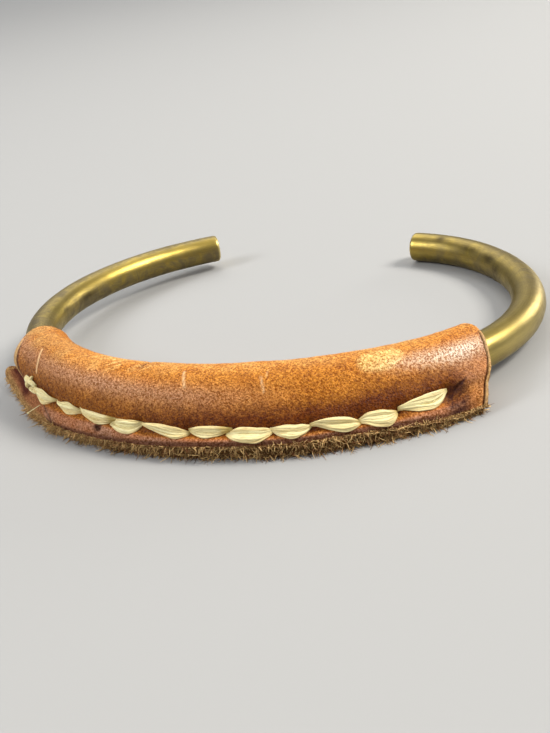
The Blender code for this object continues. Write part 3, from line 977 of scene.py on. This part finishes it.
def build_rod(material):
    """The bent brass rod, with fine flats and ripples and slightly rounded cut ends."""
    # Rings of the cut ends: how far past the end each lies, and its radius
    turn = np.linspace(0.0, math.pi / 2, 8)[1:]
    edge = ROD_ROUNDING
    caps = [(edge * math.sin(a) - edge, ROD_RADIUS - edge * (1 - math.cos(a))) for a in turn]
    caps += [(0.03, 1.2), (0.04, 0.8), (0.03, 0.4)]
    body = np.linspace(ROD_LEFT_END + edge, ROD_RIGHT_END - edge, ROD_RINGS)
    rings = [(ROD_LEFT_END - past, radius) for past, radius in reversed(caps)]
    rings += [(length, ROD_RADIUS) for length in body]
    rings += [(ROD_RIGHT_END + past, radius) for past, radius in caps]
    lengths, radii = np.array(rings).T[..., None]
    # Angles start at the lowest side and turn outwards
    lengths, angles = np.broadcast_arrays(lengths, 2 * math.pi * np.arange(ROD_SIDES) / ROD_SIDES)
    place = stack(lengths, np.cos(angles) * 2, np.sin(angles) * 2)
    ripple = 0.022 * noise(place * [1 / 2.5, 1, 1], 2.2, 41) + 0.010 * noise(place, 1.3, 42)
    worked = hill(lengths, 60.0, 9.0) * hill(np.sin(angles), -1.0, 0.7)
    ripple -= 0.13 * worked * np.abs(noise(place * [1, 0.35, 0.35], 2.6, 43))
    radius = radii + ripple * (radii / ROD_RADIUS)
    points, _, outward, upward = AXIS.directions(lengths)
    points = points + outward * (radius * np.sin(angles))[..., None]
    points -= upward * (radius * np.cos(angles))[..., None]
    points[..., 2] = points[..., 2].clip(0.0)
    numbers = np.arange(radius.size).reshape(radius.shape)
    near, far = numbers[:-1], numbers[1:]
    faces = quads(near, onward(near), onward(far), far)
    faces += [numbers[0, ::-1].tolist(), numbers[-1].tolist()]
    rod = mesh_object("brass_cuff", points.reshape(-1, 3), faces, material)
    fix_normals(rod)
    lengths, angles, radius = lengths.ravel(), angles.ravel(), radius.ravel()
    turned, height = np.degrees(angles), -np.cos(angles)
    # Tarnish along the rod, with painted dark reflection on the lower side and, on the left arm,
    # underneath and along its top
    tarnish_and_dark_reflection = table(lengths, TARNISH) * (0.65 - 0.35 * height) + 0.30 * ease(height, -0.1, -0.6)
    tarnish_and_dark_reflection = tarnish_and_dark_reflection + 0.8 * spot(lengths, turned, 53.0, 168.0, 10.0, 34.0)
    tarnish_and_dark_reflection = tarnish_and_dark_reflection + 1.3 * spot(lengths, turned, -38.0, 180.0, 6.0, 45.0)
    left_arm = ease(lengths, -36.0, -46.0)
    tarnish_and_dark_reflection = tarnish_and_dark_reflection + left_arm * (hill(turned, 292.0, 38.0) + 0.8 * hill(turned, 190.0, 16.0))
    smudge = np.max([spot(lengths, turned, *row) for row in SMUDGES], axis=0)
    # Painted highlights along the rims of the cut ends, and painted light where the right arm leaves
    # the sleeve
    near_end = np.minimum(np.abs(lengths - ROD_LEFT_END), np.abs(lengths - ROD_RIGHT_END))
    painted_brass_light = hill(near_end, 0.05, 0.25) * (radius > 1.5)
    painted_brass_light = painted_brass_light + 0.55 * spot(lengths, turned, 33.0, 100.0, 6.0, 40.0)
    color_layer(rod, "wear", [np.clip(mask, 0, 1) for mask in (tarnish_and_dark_reflection, painted_brass_light, smudge)])
    vector_layer(rod, "surface", stack(lengths, ROD_RADIUS * angles, radius))
    return rod


def tubes(paths, radii, sides, flat=None):
    """Closed tubes round many paths at once.

    Paths is (tubes, points, 3) and radii (tubes, points). Flat is an optional pair of arrays:
    a direction for each point, and how much thinner the tube is that way. Given back are
    vertices, faces, and each vertex's tube, share of its length and angle round it.
    """
    count, points, _ = paths.shape
    tangent = unit(np.gradient(paths, axis=1) + 1e-9)
    if flat is None:
        flat = np.where(np.abs(tangent[..., 2:]) < 0.9, [0.0, 0.0, 1.0], [1.0, 0.0, 0.0]), 1.0
    helper, squeeze = flat
    thin = unit(helper - tangent * np.sum(helper * tangent, -1, keepdims=True))
    wide = np.cross(tangent, thin)
    angle = 2 * math.pi * np.arange(sides) / sides
    ring = wide[:, :, None] * np.cos(angle)[:, None]
    ring = ring + thin[:, :, None] * np.sin(angle)[:, None] * squeeze
    vertices = paths[:, :, None] + ring * radii[:, :, None, None]
    numbers = np.arange(count * points * sides).reshape(count, points, sides)
    near, far = numbers[:, :-1], numbers[:, 1:]
    faces = quads(near, far, onward(far), onward(near))
    faces += numbers[:, 0].tolist() + numbers[:, -1, ::-1].tolist()
    owner = np.repeat(np.arange(count), points * sides)
    share = np.tile(np.repeat(np.linspace(0, 1, points), sides), count)
    turn = np.tile(angle, count * points)
    return vertices.reshape(-1, 3), faces, owner, share, turn


def skin_spot(lengths, along, upper=True):
    """Points on the finished outer skin, and the direction out of it there."""
    columns = SKIN.column_at(lengths, along, upper)
    values = SKIN.read(SKIN.outer, lengths, columns)
    far = np.full(lengths.shape, 9.0)
    height = relief(lengths, values, far, far)
    base = AXIS.beside(lengths, *displaced(lengths, values, height))
    top = AXIS.beside(lengths, *displaced(lengths, values, height + 1.0))
    return base, unit(top - base)


def stitch_paths(stitch, upper, thick, seed):
    """Fibres of one stitch: their paths, radii, the directions they are flat in, and crowns."""
    (left, left_reach), (right, right_reach), inner, outer, _ = stitch
    left, right = left - STITCH_OVERLAP, right + STITCH_OVERLAP
    random = np.random.default_rng(seed)
    share = np.linspace(0.0, 1.0, STITCH_POINTS)
    lane = np.linspace(0.0, 1.0, STITCH_FIBRES)[:, None]
    widths = [np.interp(share, STITCH_SHARES, (tip, *width, tip))
              for tip, width in zip(STITCH_TIPS, (inner, outer))]
    inside, outside = 0.97 * smooth_columns(np.stack(widths), 1.5)
    inset = 0.85 * (inside + outside) / STITCH_FIBRES
    slide = random.uniform(-0.05, 0.05, STITCH_FIBRES)[:, None]
    arch = np.sin(math.pi * share)
    run = np.clip(share + slide * arch, 0, 1)
    lengths = left + (right - left) * run
    drift = 0.05 * noise(stack(share * 5, lane * 7, seed * 3.0), 1.0, 51) * arch
    reach = left_reach + (right_reach - left_reach) * share - (inside - inset) * (1 - lane)
    reach = reach + (outside - inset) * lane + drift
    base, out = skin_spot(lengths, reach, upper)
    crown = np.sqrt(np.clip(1 - ((lane * 2 - 1) * 0.95) ** 2, 0, 1))
    rise = arch ** 0.5
    height = 0.02 + thick * (0.15 + 0.85 * crown) * rise
    height = height + 0.050 * random.standard_normal((STITCH_FIBRES, 1)) * rise
    paths = base + out * height[..., None]
    radii = np.broadcast_to(0.05 + 1.1 * (inside + outside) / STITCH_FIBRES, lengths.shape)
    if not upper:
        paths[..., 2] = paths[..., 2].clip(THREAD_LIFT)
    return paths, radii * (0.75 + 0.25 * rise), out, crown[:, 0]


def build_stitches(material):
    """The row of leaf-shaped sinew stitches above, the flatter row below, and the knot."""
    random = np.random.default_rng(7)
    made = [(stitch, True, STITCH_RISE) for stitch in STITCHES]
    made += [(turn, True, KNOT_RISE) for turn in KNOT]
    for (left, _), (right, _), *_ in STITCHES:
        seams = flange_lines(np.array([left, right]))[0]
        stitch = ((left, seams[0]), (right, seams[1]), PLAIN_WIDTHS, PLAIN_WIDTHS, 0.2)
        made.append((stitch, False, LOWER_RISE))
    groups = []
    for number, (stitch, upper, thick) in enumerate(made):
        path, radius, out, crown = stitch_paths(stitch, upper, thick, 100 + number)
        # Fibres vary in tone, and those at the sides of a stitch are painted darker than along its
        # crown, as shade
        shades = random.uniform(0.55, 1.0, STITCH_FIBRES) * (0.6 + 0.4 * crown)
        groups.append((path, radius, out, shades, np.full(STITCH_FIBRES, stitch[4])))
    # The loose end of the thread, flared at its tip
    (start, reach), (along, outward, drop) = LOOSE_END
    base, out = skin_spot(np.array([start]), np.array([reach]))
    _, tangent, away, upward = AXIS.directions(np.array([start]))
    run = np.linspace(0.0, 1.0, STITCH_POINTS)[:, None]
    path = base + out * 0.15 + (tangent * along + away * outward - upward * drop) * run
    path = path + 0.08 * np.sin(run * 7 + along * 9) * away * run
    flare = 0.050 + 0.07 * ease(run[:, 0], 0.80, 0.97)
    outs = np.broadcast_to(out, (1, STITCH_POINTS, 3))
    groups.append((path[None], flare[None], outs, [0.9], [0.0]))
    paths, radii, outs, shades, golds = (np.concatenate(group) for group in zip(*groups))
    vertices, faces, owner, share, turn = tubes(paths, radii, THREAD_SIDES, (outs, THREAD_FLATNESS))
    vertices[:, 2] = vertices[:, 2].clip(0.0)
    thread = mesh_object("sinew_stitches", vertices, faces, material)
    tips = 0.7 * np.abs(share * 2 - 1) ** 6 + golds[owner] * ease(share, 0.62, 0.82)
    color_layer(thread, "strand", (shades[owner], np.clip(tips, 0, 1)))
    vector_layer(thread, "surface", stack(share * 5 + owner * 7.3, turn * 0.1, owner * 1.7))
    return thread


def build_fuzz(material, sleeve, data):
    """Short fibres that stick out of the raw edges and cut ends."""
    random = np.random.default_rng(21)
    normals = np.zeros(len(data) * 3)
    sleeve.data.vertices.foreach_get("normal", normals)
    normals = normals.reshape(-1, 3)
    left_lip = (data[:, 3] < -18.0) & (data[:, 8] < 0.3)
    wanted = (data[:, 5] == 1.0) + (data[:, 5] == CAP_RAW) * np.where(left_lip, 0.6, 0.10)
    wanted = wanted * (data[:, 2] > 0.05)
    chosen = random.choice(len(data), FUZZ_COUNT, p=wanted / wanted.sum())
    roots, lengths, raw, off = data[chosen, :3], data[chosen, 3], data[chosen, 5], data[chosen, 8]
    tangent = AXIS.directions(lengths)[1]
    spread = random.normal(0.0, 0.5, (FUZZ_COUNT, 3))
    ways = unit(normals[chosen] + spread + tangent * random.normal(0.0, 0.6, (FUZZ_COUNT, 1)))
    clump = 0.5 + 0.5 * noise(roots, 1.4, 61)
    size = random.lognormal(math.log(FUZZ_MEDIAN), 0.36, FUZZ_COUNT) * (0.40 + 1.2 * clump)
    size = size.clip(FUZZ_SHORTEST, FUZZ_LONGEST) * np.where(raw == 1.0, 1.0, 0.55)
    size = size * np.where(off < -0.4, 1.25, 0.85) * (1 - 0.25 * ease(lengths, -20.0, -26.0))
    size = (size * (1 - 0.35 * ease(lengths, 20.0, 25.0)))[:, None]
    share = np.linspace(0.0, 1.0, FUZZ_POINTS)
    bend = random.normal(0.0, 1.0, (FUZZ_COUNT, 3)) + [0.0, 0.0, -0.25]
    paths = roots[:, None] + ways[:, None] * (size * share - 0.05)[..., None]
    paths = paths + bend[:, None] * (size * share ** 2 * 0.6)[..., None]
    paths[..., 2] = paths[..., 2].clip(FUZZ_LIFT)
    tones = random.beta(0.45, 0.75, FUZZ_COUNT)
    left = 0.35 * ease(lengths, -4.0, -20.0) + 0.40 * ease(lengths, -19.0, -25.0)
    tones = tones * (1 - left) + left
    thick = random.uniform(0.030, 0.064, FUZZ_COUNT) * (0.8 + 0.8 * tones)
    vertices, faces, owner, *_ = tubes(paths, thick[:, None] * (1 - 0.75 * share), FUZZ_SIDES)
    vertices[:, 2] = vertices[:, 2].clip(0.0)
    fuzz = mesh_object("leather_fuzz", vertices, faces, material)
    redness = (random.uniform(0, 1, FUZZ_COUNT) < 0.2) * 0.7
    color_layer(fuzz, "strand", (tones[owner], redness[owner]))
    return fuzz


def build_floor():
    """A plain pale floor."""
    s = Shader("floor_pale")
    s.surface.inputs["Base Color"].default_value = (0.37, 0.366, 0.353, 1.0)
    s.surface.inputs["Roughness"].default_value = 0.85
    size = 5000.0
    corners = [(-size, -size, 0.0), (size, -size, 0.0), (size, size, 0.0), (-size, size, 0.0)]
    floor = mesh_object("floor", corners, [(0, 1, 2, 3)], s.material)


def area_light(name, place, target, size, power, color):
    """A soft square light at a place in millimetres, aimed at a target."""
    lamp = bpy.data.lights.new(name, "AREA")
    lamp.shape = "SQUARE"
    lamp.size = size * MM
    lamp.energy = power
    lamp.color = color
    thing = bpy.data.objects.new(name, lamp)
    bpy.context.scene.collection.objects.link(thing)
    thing.location = Vector(place) * MM
    thing.rotation_euler = (Vector(target) - Vector(place)).to_track_quat("-Z", "Y").to_euler()


def build_lights():
    """Soft studio light from above and behind, with weaker windows at both sides."""
    world = bpy.data.worlds.new("studio")
    world.use_nodes = True
    background = world.node_tree.nodes["Background"]
    background.inputs["Color"].default_value = (0.93, 0.95, 1.0, 1.0)
    background.inputs["Strength"].default_value = 0.35
    bpy.context.scene.world = world
    for row in LIGHTS:
        area_light(*row)


def build_camera():
    """The photograph's camera: about 25 degrees above the surface, close to the sleeve."""
    data = bpy.data.cameras.new("camera")
    data.sensor_fit = "AUTO"
    data.sensor_width = CAMERA_SENSOR
    data.lens = CAMERA_FOCUS * CAMERA_SENSOR
    data.clip_start = 0.001
    data.clip_end = 10.0
    camera = bpy.data.objects.new("camera", data)
    bpy.context.scene.collection.objects.link(camera)
    forward = Vector(CAMERA_FORWARD)
    right = forward.cross(Vector(CAMERA_UP)).normalized()
    turn = Matrix((right, right.cross(forward), -forward)).transposed()
    camera.matrix_world = Matrix.Translation(Vector(CAMERA_PLACE) * MM) @ turn.to_4x4()
    bpy.context.scene.camera = camera


def main():
    build_camera()
    build_lights()
    build_floor()
    leather = leather_material()
    sleeve, data = build_sleeve(leather)
    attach(sleeve, "root")
    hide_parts("leather_sleeve")
    rod = build_rod(brass_material())
    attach(rod, "root")
    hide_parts("brass_rod")
    stitches = build_stitches(sinew_material())
    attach(stitches, "root")
    fuzz = build_fuzz(fuzz_material(), sleeve, data)
    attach(fuzz, "root")
    bpy.context.scene.view_settings.view_transform = "Standard"
    bpy.context.view_layer.update()


main()
